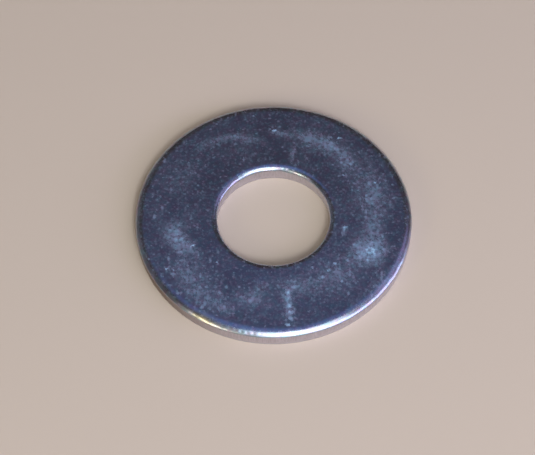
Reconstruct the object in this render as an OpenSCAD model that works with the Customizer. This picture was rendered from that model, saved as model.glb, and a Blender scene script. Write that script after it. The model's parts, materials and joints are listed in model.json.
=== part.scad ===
// Flat washer, wide series for a 1/2 in bolt, stamped from strip and zinc plated.
// The axis of the hole is Z. The flat bearing face lies on Z = 0, and the rounded
// die-roll edges face up.

/* [Washer] */
// Outside diameter
outer_d = 34.9; // [28:0.1:60]
// Diameter of the bolt hole on its smooth land
hole_d = 14.3; // [10:0.1:22]
// Thickness over the two flat faces
thickness = 2.3; // [1.8:0.05:4]

/* [Die roll on the outer edge] */
// How far the rounding reaches in over the top face
rim_roll_w = 1.1; // [0.65:0.05:1.6]
// How far the rounding drops down the wall
rim_roll_h = 0.55; // [0.2:0.05:0.6]

/* [Die roll on the hole edge] */
// How far the rounding reaches out over the top face
hole_roll_w = 0.75; // [0.45:0.05:1.2]
// How far the rounding drops into the hole
hole_roll_h = 0.4; // [0.15:0.05:0.45]

/* [Sheared walls] */
// Height of the torn band at the foot of the outer wall
rim_break_h = 0.7; // [0.3:0.05:1]
// How far the torn band leans in from the outer wall
rim_break_lean = 0.1; // [0.02:0.01:0.2]
// Height of the torn band at the foot of the hole
hole_break_h = 0.7; // [0.3:0.05:1]
// How far the torn band leans out from the hole's land
hole_break_lean = 0.1; // [0.02:0.01:0.2]
// Width of the tumbled bevel on both bottom corners
bevel = 0.12; // [0.05:0.01:0.25]

/* [Hidden] */
$fn = 128;
outer_r = outer_d / 2;
hole_r = hole_d / 2;
// A cutting shape reaches this far past the face that it cuts
overrun = 1;

// Radius of the arc that leaves the top face level and drops h over a width w
function roll_r(w, h) = (w * w + h * h) / (2 * h);

// Half section with sharp top corners: distance from the axis, then height
module blank_section() {
  polygon([
    [hole_r, thickness],
    [outer_r, thickness],
    [outer_r, rim_break_h],
    [outer_r - rim_break_lean, bevel],
    [outer_r - rim_break_lean - bevel, 0],
    [hole_r + hole_break_lean + bevel, 0],
    [hole_r + hole_break_lean, bevel],
    [hole_r, hole_break_h]
  ]);
}

// Waste outside the rounding of a top corner, w wide and h high, with the corner
// at the origin and the metal below it and to its left
module roll_waste(w, h) {
  difference() {
    translate([-w, -h])
      square([w + overrun, h + overrun]);
    translate([-w, -roll_r(w, h)])
      circle(r = roll_r(w, h));
  }
}

module flat_washer() {
  color("lightsteelblue")
    rotate_extrude()
      difference() {
        blank_section();
        translate([outer_r, thickness])
          roll_waste(rim_roll_w, rim_roll_h);
        translate([hole_r, thickness])
          mirror([1, 0])
            roll_waste(hole_roll_w, hole_roll_h);
      }
}

flat_washer();
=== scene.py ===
import bpy
import bmesh
import json
import math
import random
from mathutils import Matrix, Quaternion, Vector, kdtree, noise


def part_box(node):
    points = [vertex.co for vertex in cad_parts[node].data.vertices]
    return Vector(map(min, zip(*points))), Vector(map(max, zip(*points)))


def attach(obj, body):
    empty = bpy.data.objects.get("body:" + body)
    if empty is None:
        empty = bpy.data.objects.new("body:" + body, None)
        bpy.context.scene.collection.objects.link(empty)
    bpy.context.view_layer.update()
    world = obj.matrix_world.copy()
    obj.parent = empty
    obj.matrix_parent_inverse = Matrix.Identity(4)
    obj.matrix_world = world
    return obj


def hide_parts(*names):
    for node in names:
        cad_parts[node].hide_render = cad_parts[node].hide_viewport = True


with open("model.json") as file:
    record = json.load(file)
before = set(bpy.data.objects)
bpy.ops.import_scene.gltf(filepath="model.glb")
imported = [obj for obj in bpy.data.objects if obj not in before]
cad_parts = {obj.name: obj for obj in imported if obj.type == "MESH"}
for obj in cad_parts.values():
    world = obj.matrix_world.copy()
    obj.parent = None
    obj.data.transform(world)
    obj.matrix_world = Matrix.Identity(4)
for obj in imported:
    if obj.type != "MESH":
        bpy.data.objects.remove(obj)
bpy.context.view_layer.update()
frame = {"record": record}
mm = 0.001
print("frame loaded")


def hexColor(code):
    # sRGB hex to the linear values that the shaders work in
    channels = [int(code[i:i + 2], 16) / 255 for i in (1, 3, 5)]
    linear = [c / 12.92 if c <= 0.04045 else ((c + 0.055) / 1.055) ** 2.4 for c in channels]
    return (*linear, 1.0)


def addNode(tree, kind, settings=None, **sockets):
    # settings are the node's own fields; each socket takes a value or another node's output
    # a socket is named with _ for a space, or _0, _1 by its number
    node = tree.nodes.new(kind)
    for name, value in (settings or {}).items():
        setattr(node, name, value)
    for name, value in sockets.items():
        socket = node.inputs[int(name[1:]) if name[0] == "_" else name.replace("_", " ")]
        if isinstance(value, bpy.types.NodeSocket):
            tree.links.new(value, socket)
        else:
            socket.default_value = value
    return node


def onCircle(degrees, radius):
    turn = math.radians(degrees)
    return Vector((radius * math.cos(turn), radius * math.sin(turn), 0))


# ---- camera ----
view = {
    "elevation": 57.2,      # degrees above the floor
    "distance": 242 * mm,   # from the lens to the middle of the washer
    "lens": 128,            # mm on a 36 mm sensor
    "roll": 0.87,           # degrees, leaning a little to the right
    "aside": (-0.78 * mm, -0.27 * mm),   # the washer sits a little off the middle
}


def makeCamera():
    data = bpy.data.cameras.new("camera")
    data.lens = view["lens"]
    data.sensor_width = 36
    data.clip_start = 10 * mm
    camera = bpy.data.objects.new("camera", data)
    bpy.context.scene.collection.objects.link(camera)
    tilt, roll = math.radians(view["elevation"]), math.radians(view["roll"])
    back = Vector((0, -math.cos(tilt), math.sin(tilt)))
    right = Vector((1, 0, 0))
    up = Vector((0, math.sin(tilt), math.cos(tilt)))
    place = back * view["distance"] + right * view["aside"][0] + up * view["aside"][1]
    across = right * math.cos(roll) - up * math.sin(roll)
    upright = right * math.sin(roll) + up * math.cos(roll)
    turn = Matrix((across, upright, back)).transposed().to_4x4()
    camera.matrix_world = Matrix.Translation(place) @ turn
    bpy.context.scene.camera = camera


makeCamera()
print("camera set")

# ---- washer ----
cadLow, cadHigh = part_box("flat_washer")
boltHole = next(m for m in frame["record"]["mounts"] if m["name"] == "bolt_hole")
washer = {
    "outerR": (cadHigh.x - cadLow.x) / 2,
    "holeR": boltHole["dims"]["r_mm"] * mm,
    "height": cadHigh.z - cadLow.z,
    "rimRoll": (1.10 * mm, 0.55 * mm),    # width over the face, drop down the wall
    "holeRoll": (0.75 * mm, 0.40 * mm),
    "breakHeight": 0.70 * mm,             # the smooth land ends and the torn band begins here
    "breakLean": 0.10 * mm,
    "bevel": 0.12 * mm,
    "around": 720,                        # steps around the ring
    "faceSteps": 34,                      # steps across each flat face
    "seed": 41,
}
# places where the metal was knocked in the tumbling barrel: how many, radius, depth
knocks = {
    "rimRoll": (190, (0.20 * mm, 0.60 * mm), (0.002 * mm, 0.009 * mm)),
    "holeRoll": (50, (0.15 * mm, 0.40 * mm), (0.002 * mm, 0.005 * mm)),
    "rimWall": (60, (0.20 * mm, 0.60 * mm), (0.004 * mm, 0.012 * mm)),
    "faces": (150, (0.25 * mm, 1.10 * mm), (0.002 * mm, 0.008 * mm)),
}

# harder knocks on the rim's rounded edge, each a small glint: degrees, radius, depth
bruises = [
    (248.0, 0.26 * mm, 0.016 * mm),
    (251.0, 0.34 * mm, 0.020 * mm),
    (253.4, 0.24 * mm, 0.014 * mm),
    (256.0, 0.32 * mm, 0.020 * mm),
    (258.6, 0.24 * mm, 0.014 * mm),
    (260.8, 0.30 * mm, 0.016 * mm),
    (264.0, 0.24 * mm, 0.010 * mm),
]


def lumps(angle, size, spread, layer):
    # seamless unevenness around the ring, from about -spread to spread, with lumps this long
    turns = washer["outerR"] / size
    spot = Vector((math.cos(angle) * turns, math.sin(angle) * turns, washer["seed"] + layer * 7.3))
    return noise.noise(spot) * spread


def wallProfile(angle, wallR, roll, side, layer):
    # stations from the flat top face down one wall to the flat bottom face
    # side is 1 on the rim, where the metal lies inside wallR, and -1 in the hole
    width = roll[0] * (1 + lumps(angle, 6 * mm, 0.16, layer) + lumps(angle, 1.5 * mm, 0.08, layer + 1))
    drop = roll[1] * (1 + lumps(angle, 7 * mm, 0.16, layer + 2)
                      + lumps(angle, 1.2 * mm, 0.07, layer + 3))
    breakAt = washer["breakHeight"] + lumps(angle, 2.5 * mm, 0.22 * mm, layer + 4)
    breakAt += lumps(angle, 0.6 * mm, 0.10 * mm, layer + 5)
    # the die drags fine upright lines down the smooth land
    drag = lumps(angle, 0.35 * mm, 0.006 * mm, layer + 6) + lumps(angle, 1.1 * mm, 0.008 * mm, layer + 7)
    height, lean, bevel = washer["height"], washer["breakLean"], washer["bevel"]
    rollSteps, landSteps, tornSteps, bevelSteps = 14, 7, 9, 3
    stations = []
    # the roll is an arc that leaves the face level and meets the wall at a blunt corner
    arcR = (width ** 2 + drop ** 2) / (2 * drop)
    arcEnd = math.asin(width / arcR)
    for i in range(rollSteps):
        turn = arcEnd * i / (rollSteps - 1)
        inset = width - arcR * math.sin(turn) - drag * i / rollSteps
        stations.append((inset, height - arcR * (1 - math.cos(turn)), "roll"))
    top = height - drop
    for i in range(1, landSteps + 1):
        stations.append((-drag, top + (breakAt - top) * i / landSteps, "land"))
    for i in range(1, tornSteps + 1):
        share = i / tornSteps
        z = breakAt + (bevel - breakAt) * share
        spot = Vector((math.cos(angle) * wallR, math.sin(angle) * wallR, z)) / (0.28 * mm)
        torn = noise.noise(spot + Vector((0, 0, layer))) * 0.030 * mm * min(1, 4 * share)
        step = 0.012 * mm * min(1, 5 * share)
        stations.append((lean * share + torn * (1 - 0.6 * share) + step, z, "torn"))
    for i in range(1, bevelSteps + 1):
        turn = math.pi / 2 * i / bevelSteps
        stations.append((lean + bevel * (1 - math.cos(turn)), bevel * (1 - math.sin(turn)), "bevel"))
    return [(wallR - side * inset, z, zone) for inset, z, zone in stations]


def faceWaves(x, y, layer):
    # how far a face that came off the press lies below true flat
    broad = noise.noise(Vector((x, y, 0)) / (6 * mm) + Vector((0, 0, layer)))
    short = noise.noise(Vector((x, y, 0)) / (1.6 * mm) + Vector((0, 0, layer + 5)))
    return (0.010 * (1 + broad) + 0.002 * (1 + short)) * mm


def washerSection(angle):
    # the whole section, rim first, then the underside, the hole and the top face
    rim = wallProfile(angle, washer["outerR"], washer["rimRoll"], 1, 10)
    hole = wallProfile(angle, washer["holeR"], washer["holeRoll"], -1, 30)
    section = list(rim)
    steps = washer["faceSteps"]
    for start, end, zone in ((rim[-1], hole[-1], "under"), (hole[0], rim[0], "face")):
        if zone == "face":
            section += reversed(hole)
        for j in range(1, steps):
            share = j / steps
            r = start[0] + (end[0] - start[0]) * share
            ease = min(1, 4 * share, 4 * (1 - share))
            dip = faceWaves(r * math.cos(angle), r * math.sin(angle), 3 if zone == "face" else 9) * ease
            section.append((r, washer["height"] - dip if zone == "face" else dip, zone))
    return section


def knockDents(verts, zones):
    rng = random.Random(washer["seed"])
    tree = kdtree.KDTree(len(verts))
    for vert in verts:
        tree.insert(vert.co, vert.index)
    tree.balance()
    rolls = [v for v in verts if zones[v.index] == "roll"]
    middleR = (washer["outerR"] + washer["holeR"]) / 2
    places = {
        "rimRoll": [v for v in rolls if v.co.xy.length > middleR],
        "holeRoll": [v for v in rolls if v.co.xy.length < middleR],
        "rimWall": [v for v in verts if zones[v.index] in ("land", "torn")],
        "faces": [v for v in verts if zones[v.index] in ("face", "under")],
    }
    hits = []
    for name, (count, radii, depths) in knocks.items():
        for _ in range(count):
            vert = rng.choice(places[name])
            hits.append((vert, rng.uniform(*radii), rng.uniform(*depths)))
    onRoll = Vector((0, 0, washer["height"] - washer["rimRoll"][1] / 2))
    for degrees, radius, depth in bruises:
        spot = onCircle(degrees, washer["outerR"] - washer["rimRoll"][0] / 4) + onRoll
        hits.append((verts[tree.find(spot)[1]], radius, depth))
    shift = {}
    for vert, radius, depth in hits:
        inward = -vert.normal * depth
        for co, index, far in tree.find_range(vert.co, radius):
            shift[index] = shift.get(index, Vector()) + inward * (1 - (far / radius) ** 2) ** 2
    for index, move in shift.items():
        verts[index].co += move


def buildWasher():
    finish = {"roll": 0, "face": 0, "under": 0, "bevel": 0, "land": 1, "torn": 2}
    bm = bmesh.new()
    zones, columns = [], []
    for i in range(washer["around"]):
        angle = 2 * math.pi * i / washer["around"]
        column = []
        for r, z, zone in washerSection(angle):
            column.append(bm.verts.new((r * math.cos(angle), r * math.sin(angle), z)))
            zones.append(zone)
        columns.append(column)
    bm.verts.index_update()
    bm.verts.ensure_lookup_table()
    count = len(columns[0])
    for i in range(washer["around"]):
        here, there = columns[i], columns[(i + 1) % washer["around"]]
        for j in range(count):
            k = (j + 1) % count
            face = bm.faces.new((here[j], here[k], there[k], there[j]))
            face.smooth = True
            face.material_index = finish[zones[here[k].index]]
    bmesh.ops.recalc_face_normals(bm, faces=bm.faces)
    bm.normal_update()
    knockDents(bm.verts, zones)
    mesh = bpy.data.meshes.new("washerBody")
    bm.to_mesh(mesh)
    bm.free()
    piece = bpy.data.objects.new("washerBody", mesh)
    bpy.context.scene.collection.objects.link(piece)
    print("washer built:", len(mesh.polygons), "faces")
    return piece


# patches of white zinc bloom on the top face, as if it had lain against others in a batch:
# degrees round the ring, mm from the axis, degrees that the patch lies off the ring's own direction,
# half length and half width in mm, milky film, specks
bloomSpots = [
    (193, 12.6, 14, 3.8, 2.5, 0.92, 0.2),
    (203, 11.7, 20, 3.2, 2.0, 0.50, 0.5),
    (220, 13.6, 0, 7.5, 4.4, 0.24, 1.3),
    (243, 14.6, 0, 6.5, 3.0, 0.18, 1.1),
    (257, 12.6, 0, 3.4, 2.2, 0.62, 0.5),
    (262, 10.6, 0, 4.5, 3.2, 0.08, 0.8),
    (284, 10.7, 0, 3.0, 2.4, 0.36, 1.2),
    (277, 13.2, 90, 4.4, 1.3, 0.42, 2.2),
    (308, 11.8, 0, 6.5, 4.4, 0.28, 1.3),
    (336, 13.5, 0, 3.2, 2.9, 1.50, 0.0),
    (331, 12.2, 30, 3.8, 2.4, 0.50, 0.4),
    (350, 12.4, 0, 4.4, 2.6, 0.36, 0.8),
    (345, 9.1, 0, 1.6, 0.6, 0.90, 0.4),
    (14, 12.8, 0, 6.5, 4.0, 0.22, 2.0),
    (42, 12.6, 0, 5.0, 2.8, 0.34, 1.0),
    (55, 12.8, 0, 3.2, 2.0, 0.62, 0.5),
    (68, 12.6, 0, 3.8, 2.2, 0.50, 0.6),
    (75, 9.9, 90, 2.4, 0.6, 0.35, 0.8),
    (84, 12.8, 0, 2.8, 1.0, 0.50, 0.4),
    (150, 13.0, 0, 11.0, 4.6, 0.06, 0.4),
    (322, 16.2, 0, 5.0, 1.6, 0.10, 1.4),
]
# bright fresh nicks and stray white grains, their outlines frayed:
# degrees, mm from the axis, lean, half length and half width in mm, whiteness
nicks = [
    (53.6, 14.7, 36, 0.60, 0.17, 0.95),
    (203, 11.0, -88, 0.46, 0.20, 0.75),
    (224, 9.8, 0, 0.18, 0.17, 0.80),
    (89, 13.2, 10, 0.40, 0.20, 0.70),
    (277.5, 11.4, 0, 0.44, 0.50, 0.26),
    (278.6, 12.3, 0, 0.40, 0.46, 0.24),
    (277.4, 13.4, 0, 0.46, 0.56, 0.34),
    (277.6, 14.3, 0, 0.48, 0.50, 0.36),
    (277.0, 15.1, 0, 0.40, 0.46, 0.32),
    (275.4, 16.0, 0, 0.40, 0.34, 0.56),
    (282, 10.8, 0, 0.50, 0.40, 0.30),
    (310, 12.9, 0, 0.30, 0.24, 0.42),
    (316, 10.4, 0, 0.34, 0.26, 0.46),
    (303, 11.0, 0, 0.34, 0.30, 0.34),
    (309, 10.6, 0, 0.24, 0.24, 0.50),
    (301, 9.2, 0, 0.30, 0.26, 0.34),
    (210, 15.5, 0, 0.30, 0.24, 0.62),
    (212, 14.8, 20, 0.30, 0.20, 0.46),
    (20, 13.9, 0, 0.24, 0.20, 0.55),
    (34, 10.8, 0, 0.22, 0.20, 0.45),
    (348, 9.2, 80, 0.50, 0.24, 0.40),
]
# thin rings, as the hole edges of others in a batch could rub them: centre x and y, the degrees and the mm
# of the middle of what shows of the ring, half of its length
rubbedRings = [
    (-4.8, 4.6, 92, 5.6, 0.50),
    (5.2, 5.4, 22, 3.4, 0.16),
    (-4.0, -7.4, 190, 3.5, 0.12),
]
zinc = {
    "metal": ("#BFAEBA", "#ABC5C8"),    # zinc under a clear blue passivate, in drifts
    "bloom": ("#4F9AE4", "#A3CCE4"),    # white bloom looks blue on dark metal where it is thin
    "sheared": ("#BDB8C0", "#E0DDE6"),  # the sheared walls, greyer in their drag lines and torn grain
    "paintedShadeBrown": "#86766C",               # painted shade: dark brown on the wall's left side, away from the lights
    "paintedGoldHighlight": "#DDD2AC",                 # painted highlight: the pale gold that tints the rim's highlight where it mirrors the lamp
    "smooth": 0.24,                     # roughness of the plated face
    "rubbed": 0.07,                     # what tumbling adds to it on the rounded edges
    "milky": 0.45,                      # and of full bloom
    "paintedGoldHighlightAt": -121,                    # degrees round the rim, where the painted gold highlight tint lies
    "paintedShadeAt": 197,                     # degrees round the rim, where the wall's painted shade lies
    "rubbedRingR": 7.65,                # mm, about the edge of such a washer's hole
}


def perMm(size):
    # texture scale that gives cells of this many millimetres
    return 1 / (size * mm)


def calc(tree, operation, *values, clamp=False):
    sockets = {"_%d" % i: value for i, value in enumerate(values)}
    settings = {"operation": operation, "use_clamp": clamp}
    return addNode(tree, "ShaderNodeMath", settings, **sockets).outputs[0]


def remap(tree, value, fromMin, fromMax, toMin, toMax, course="LINEAR"):
    return addNode(tree, "ShaderNodeMapRange", {"interpolation_type": course}, Value=value,
                   From_Min=fromMin, From_Max=fromMax, To_Min=toMin, To_Max=toMax).outputs[0]


def mixColor(tree, share, first, second):
    mixed = addNode(tree, "ShaderNodeMix", {"data_type": "RGBA"}, _0=share, _6=first, _7=second)
    return mixed.outputs[2]


def spotMask(tree, place, middle, degrees, half):
    # 1 at the middle of an ellipsoid, falling to 0 at its skin
    local = addNode(tree, "ShaderNodeMapping", {"vector_type": "TEXTURE"}, Vector=place, Location=middle,
                    Rotation=(0, 0, math.radians(degrees)), Scale=half)
    return addNode(tree, "ShaderNodeTexGradient", {"gradient_type": "QUADRATIC_SPHERE"},
                   Vector=local.outputs[0]).outputs["Fac"]


def shaken(tree, place, cell, reach):
    # the same place, pushed about by a noise of this cell size and reach in mm
    wander = addNode(tree, "ShaderNodeTexNoise", Vector=place, Scale=perMm(cell),
                     Detail=3.0, Roughness=0.6)
    centred = addNode(tree, "ShaderNodeVectorMath", {"operation": "SUBTRACT"},
                      _0=wander.outputs["Color"], _1=(0.5, 0.5, 0.5))
    return addNode(tree, "ShaderNodeVectorMath", {"operation": "MULTIPLY_ADD"},
                   _0=centred.outputs[0], _1=(reach * mm, reach * mm, 0), _2=place).outputs[0]


def zincBloom(tree, place):
    # how much milky film and how many specks the zinc carries at each place
    warped = shaken(tree, place, 1.6, 1.8)
    film = specks = 0.0
    top = Vector((0, 0, washer["height"]))
    for degrees, radius, lean, along, across, milky, specked in bloomSpots:
        spot = spotMask(tree, warped, onCircle(degrees, radius * mm) + top, degrees + 90 + lean,
                        (along * mm, across * mm, 1.5 * mm))
        film = calc(tree, "MULTIPLY_ADD", spot, milky, film)
        specks = calc(tree, "MULTIPLY_ADD", spot, specked, specks)
    for x, y, degrees, half, strength in rubbedRings:
        centre = Vector((x * mm, y * mm, washer["height"]))
        fromCentre = addNode(tree, "ShaderNodeVectorMath", {"operation": "DISTANCE"},
                             _0=place, _1=centre)
        off = calc(tree, "ABSOLUTE", calc(tree, "SUBTRACT", fromCentre.outputs["Value"],
                                          zinc["rubbedRingR"] * mm))
        line = remap(tree, off, 0.0, 0.75 * mm, strength, 0.0)
        middle = centre + onCircle(degrees, zinc["rubbedRingR"] * mm)
        reach = spotMask(tree, warped, middle, degrees + 90, (half * mm, half * mm, half * mm))
        film = calc(tree, "MULTIPLY_ADD", line, calc(tree, "POWER", reach, 0.5), film)
    # a thin general bloom in drifts, on every face
    drifts = addNode(tree, "ShaderNodeTexNoise", Vector=place, Scale=perMm(4.0),
                     Detail=6.0, Roughness=0.65)
    haze = remap(tree, drifts.outputs["Fac"], 0.42, 0.72, 0.0, 0.12)
    return calc(tree, "ADD", film, haze), calc(tree, "MULTIPLY_ADD", haze, 1.5, specks)


def makeZinc():
    # mild steel, bright electroplated zinc with a clear blue passivate, tumbled in bulk:
    # a dark soft mirror of the room, with bluish white bloom and fine pale specks
    material = bpy.data.materials.new("electroplatedZinc")
    material.use_nodes = True
    tree = material.node_tree
    tree.nodes.clear()
    place = addNode(tree, "ShaderNodeTexCoord").outputs["Object"]
    film, specks = zincBloom(tree, place)
    # the film is curdled, drawn at 0.45 mm, coarser than the real 0.05 mm, so that it shows
    curds = addNode(tree, "ShaderNodeTexNoise", Vector=place, Scale=perMm(0.45),
                    Detail=3.0, Roughness=0.65)
    cover = calc(tree, "MULTIPLY", film, remap(tree, curds.outputs["Fac"], 0.34, 0.66, 0.14, 0.72))
    frayed = shaken(tree, place, 0.30, 0.9)
    for degrees, radius, lean, along, across, white in nicks:
        nick = spotMask(tree, frayed, onCircle(degrees, radius * mm) + Vector((0, 0, washer["height"])),
                        degrees + 90 + lean, (along * mm, across * mm, 0.5 * mm))
        scratched = remap(tree, nick, 0.0, 0.4, 0.0, white, "SMOOTHSTEP")
        cover = calc(tree, "ADD", cover, scratched, clamp=True)
    # each layer of specks: cell and speck size in mm, stretch, degrees it is turned, share of the cells
    # that hold a speck on bare metal, how much that rises with the bloom, how white a speck is
    for cell, size, stretch, turn, bare, gain, white in (
        (0.22, 0.24, 1.0, 0, 0.35, 0.50, 0.13),
        (0.32, 0.34, 1.0, 0, 0.14, 0.50, 0.17),
        (0.40, 0.34, 1.0, 0, 0.01, 0.40, 0.26),
        (0.50, 0.28, 2.2, 30, 0.01, 0.22, 0.28),
        (0.54, 0.28, 2.2, -55, 0.01, 0.22, 0.28),
        (1.00, 0.34, 1.0, 0, 0.01, 0.12, 0.56),
    ):
        turned = addNode(tree, "ShaderNodeMapping", Vector=place, Rotation=(0, 0, math.radians(turn)),
                         Scale=(perMm(cell), perMm(cell * stretch), perMm(cell)))
        cells = addNode(tree, "ShaderNodeTexVoronoi", {"feature": "F1"},
                        Vector=turned.outputs[0], Scale=1.0)
        pick = addNode(tree, "ShaderNodeSeparateColor", Color=cells.outputs["Color"])
        dot = remap(tree, cells.outputs["Distance"], 0.0, size / cell, white, 0.0, "SMOOTHSTEP")
        crowd = calc(tree, "MULTIPLY_ADD", specks, gain, bare)
        chosen = calc(tree, "LESS_THAN", pick.outputs["Red"], crowd)
        bright = calc(tree, "MULTIPLY", calc(tree, "MULTIPLY", dot, chosen), pick.outputs["Green"])
        cover = calc(tree, "ADD", cover, bright, clamp=True)
    # the metal itself is mottled by the plating; at one place on the rim it is tinted pale gold, a painted
    # highlight colour where the rim mirrors the warm lamp
    tint = addNode(tree, "ShaderNodeTexNoise", Vector=place, Scale=perMm(0.8), Detail=6.0, Roughness=0.7)
    metal = mixColor(tree, remap(tree, tint.outputs["Fac"], 0.35, 0.65, 0.0, 1.0),
                     hexColor(zinc["metal"][0]), hexColor(zinc["metal"][1]))
    # painted highlight: pale gold tint on the rim where it mirrors the warm lamp
    paintedGoldHighlightSpot = onCircle(zinc["paintedGoldHighlightAt"], 17.3 * mm) + Vector((0, 0, washer["height"]))
    paintedGoldHighlight = spotMask(tree, place, paintedGoldHighlightSpot, zinc["paintedGoldHighlightAt"] + 90, (3.2 * mm, 1.2 * mm, 1.2 * mm))
    metal = mixColor(tree, remap(tree, paintedGoldHighlight, 0.0, 0.6, 0.0, 1.0), metal, hexColor(zinc["paintedGoldHighlight"]))
    bloom = mixColor(tree, cover, hexColor(zinc["bloom"][0]), hexColor(zinc["bloom"][1]))
    color = mixColor(tree, cover, metal, bloom)
    metallic = calc(tree, "SUBTRACT", 1.0, cover)
    roughness = remap(tree, cover, 0.0, 1.0, zinc["smooth"], zinc["milky"])
    height = addNode(tree, "ShaderNodeSeparateXYZ", Vector=place).outputs["Z"]
    edge = remap(tree, height, washer["height"] - 0.30 * mm, washer["height"] - 0.04 * mm,
                 zinc["rubbed"], 0.0)
    roughness = calc(tree, "ADD", roughness, edge)
    # plated grain and the faint orange peel of the tumbled face
    peel = addNode(tree, "ShaderNodeTexNoise", Vector=place, Scale=perMm(0.45),
                   Detail=4.0, Roughness=0.6)
    bump = addNode(tree, "ShaderNodeBump", Height=peel.outputs["Fac"],
                   Strength=0.35, Distance=0.006 * mm)
    shader = addNode(tree, "ShaderNodeBsdfPrincipled", Base_Color=color, Metallic=metallic,
                     Roughness=roughness, Normal=bump.outputs[0])
    addNode(tree, "ShaderNodeOutputMaterial", Surface=shader.outputs[0])
    return material


def makeShearedZinc(name, grainSize, roughRange, bumpHeight):
    # the same plating over a sheared wall, where it lies on drag lines or on open torn grain:
    # bright metal that mirrors the floor as a blur
    material = bpy.data.materials.new(name)
    material.use_nodes = True
    tree = material.node_tree
    tree.nodes.clear()
    place = addNode(tree, "ShaderNodeTexCoord").outputs["Object"]
    upright = addNode(tree, "ShaderNodeMapping", Vector=place, Scale=(1, 1, grainSize[0] / grainSize[1]))
    grain = addNode(tree, "ShaderNodeTexNoise", Vector=upright.outputs[0], Scale=perMm(grainSize[0]),
                    Detail=5.0, Roughness=0.7)
    share = remap(tree, grain.outputs["Fac"], 0.3, 0.7, 0.0, 1.0)
    color = mixColor(tree, share, hexColor(zinc["sheared"][0]), hexColor(zinc["sheared"][1]))
    # painted shade: the wall turns dark brown on its left side, where the floor it mirrors lies in shadow
    paintedShade = spotMask(tree, place, onCircle(zinc["paintedShadeAt"], washer["outerR"]), zinc["paintedShadeAt"],
                     (15 * mm, 24 * mm, 8 * mm))
    color = mixColor(tree, remap(tree, paintedShade, 0.0, 0.5, 0.0, 1.0), color, hexColor(zinc["paintedShadeBrown"]))
    roughness = remap(tree, share, 0.0, 1.0, *roughRange)
    bump = addNode(tree, "ShaderNodeBump", Height=grain.outputs["Fac"],
                   Strength=0.5, Distance=bumpHeight * mm)
    shader = addNode(tree, "ShaderNodeBsdfPrincipled", Base_Color=color, Metallic=1.0,
                     Roughness=roughness, Normal=bump.outputs[0])
    addNode(tree, "ShaderNodeOutputMaterial", Surface=shader.outputs[0])
    return material


body = buildWasher()
body.data.materials.append(makeZinc())
body.data.materials.append(makeShearedZinc("zincOnDraggedWall", (0.14, 1.2), (0.38, 0.48), 0.006))
body.data.materials.append(makeShearedZinc("zincOnTornWall", (0.16, 0.16), (0.44, 0.56), 0.014))
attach(body, "root")
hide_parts("flat_washer")
print("washer finished")

# ---- floor ----
stage = {
    "card": "#CBBCAA",
    "backdrop": "#CFC6BE",
    "size": 3.0,                # metres
    "fade": (0.09, 0.32),       # metres from the washer, where the card turns into the backdrop
}


def makeFloor():
    bpy.ops.mesh.primitive_plane_add(size=stage["size"], location=(0, 0, -0.01 * mm))
    floor = bpy.context.object
    floor.name = "floor"
    material = bpy.data.materials.new("paleCard")
    material.use_nodes = True
    shader = material.node_tree.nodes["Principled BSDF"]
    shader.inputs["Base Color"].default_value = hexColor(stage["card"])
    shader.inputs["Roughness"].default_value = 0.9
    shader.inputs["Specular IOR Level"].default_value = 0.2
    # the card turns into the backdrop far behind, which softens the horizon
    tree = material.node_tree
    place = addNode(tree, "ShaderNodeTexCoord").outputs["Object"]
    reach = addNode(tree, "ShaderNodeVectorMath", {"operation": "LENGTH"}, _0=place).outputs["Value"]
    seen = addNode(tree, "ShaderNodeLightPath").outputs["Is Camera Ray"]
    far = calc(tree, "MULTIPLY", remap(tree, reach, *stage["fade"], 0.0, 1.0, "SMOOTHSTEP"), seen)
    backdrop = addNode(tree, "ShaderNodeEmission", Color=hexColor(stage["backdrop"]), Strength=1.0)
    card = addNode(tree, "ShaderNodeMixShader", _0=far, _1=shader.outputs[0], _2=backdrop.outputs[0])
    tree.links.new(card.outputs[0], tree.nodes["Material Output"].inputs["Surface"])
    floor.data.materials.append(material)


makeFloor()

# ---- light ----
# degrees round from +X, degrees above the floor, size in metres, degrees that it is rolled,
# radiance, colour
lights = {
    "key": (-72, 44, (0.44, 0.54), 0, 2.3, "#EDF3FF"),
    "flash": (-77, 44, (0.13, 0.13), 0, 20.0, "#F4F8FF"),
    "side": (-22, 21, (0.66, 0.15), -24, 5.0, "#D0CCFF"),
    "glow": (15, 45, (0.30, 0.30), 0, 0.5, "#C0B8FF"),
    "lamp": (-132, 24, (0.13, 0.14), 0, 8.0, "#FFF4DC"),
    "back": (150, 20, (0.60, 0.24), 0, 0.10, "#C8CCE0"),
}
lightDistance = 0.55


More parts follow.
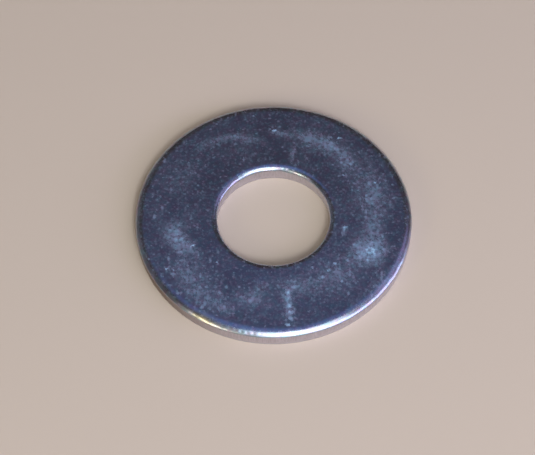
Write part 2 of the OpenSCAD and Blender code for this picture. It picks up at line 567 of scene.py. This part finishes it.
def makeLights():
    for name, (azimuth, elevation, size, roll, radiance, color) in lights.items():
        data = bpy.data.lights.new(name, "AREA")
        data.shape = "RECTANGLE"
        data.size, data.size_y = size
        data.energy = radiance * math.pi * size[0] * size[1]
        data.color = hexColor(color)[:3]
        light = bpy.data.objects.new(name, data)
        bpy.context.scene.collection.objects.link(light)
        lift = math.radians(elevation)
        place = onCircle(azimuth, math.cos(lift)) + Vector((0, 0, math.sin(lift)))
        light.location = place * lightDistance
        facing = place.to_track_quat("Z", "Y") @ Quaternion((0, 0, 1), math.radians(roll))
        light.rotation_euler = facing.to_euler()


def makeWorld():
    # dim room for the metal to mirror, bluer overhead; soft light for what doesn't mirror it,
    # and a plain pale backdrop
    world = bpy.data.worlds.new("studio")
    bpy.context.scene.world = world
    world.use_nodes = True
    tree = world.node_tree
    tree.nodes.clear()
    direction = addNode(tree, "ShaderNodeTexCoord").outputs["Generated"]
    parts = addNode(tree, "ShaderNodeSeparateXYZ", Vector=direction)
    ramp = addNode(tree, "ShaderNodeValToRGB", Fac=parts.outputs["Z"])
    stops = ramp.color_ramp.elements
    stops[0].position, stops[0].color = 0.0, hexColor("#403A3C")
    stops[1].position, stops[1].color = 1.0, hexColor("#6C7EBC")
    stops.new(0.80).color = hexColor("#423D40")
    stops.new(0.88).color = hexColor("#555C80")
    room = addNode(tree, "ShaderNodeBackground", Color=ramp.outputs["Color"], Strength=1.0)
    backdrop = addNode(tree, "ShaderNodeBackground", Color=hexColor(stage["backdrop"]), Strength=1.0)
    fill = addNode(tree, "ShaderNodeBackground", Color=hexColor("#E4DEDA"), Strength=0.30)
    path = addNode(tree, "ShaderNodeLightPath").outputs
    lit = addNode(tree, "ShaderNodeMixShader", _0=path["Is Diffuse Ray"],
                  _1=room.outputs[0], _2=fill.outputs[0])
    both = addNode(tree, "ShaderNodeMixShader", _0=path["Is Camera Ray"],
                   _1=lit.outputs[0], _2=backdrop.outputs[0])
    addNode(tree, "ShaderNodeOutputWorld", Surface=both.outputs[0])


makeLights()
makeWorld()
bpy.context.scene.view_settings.view_transform = "Standard"
print("floor and light set")
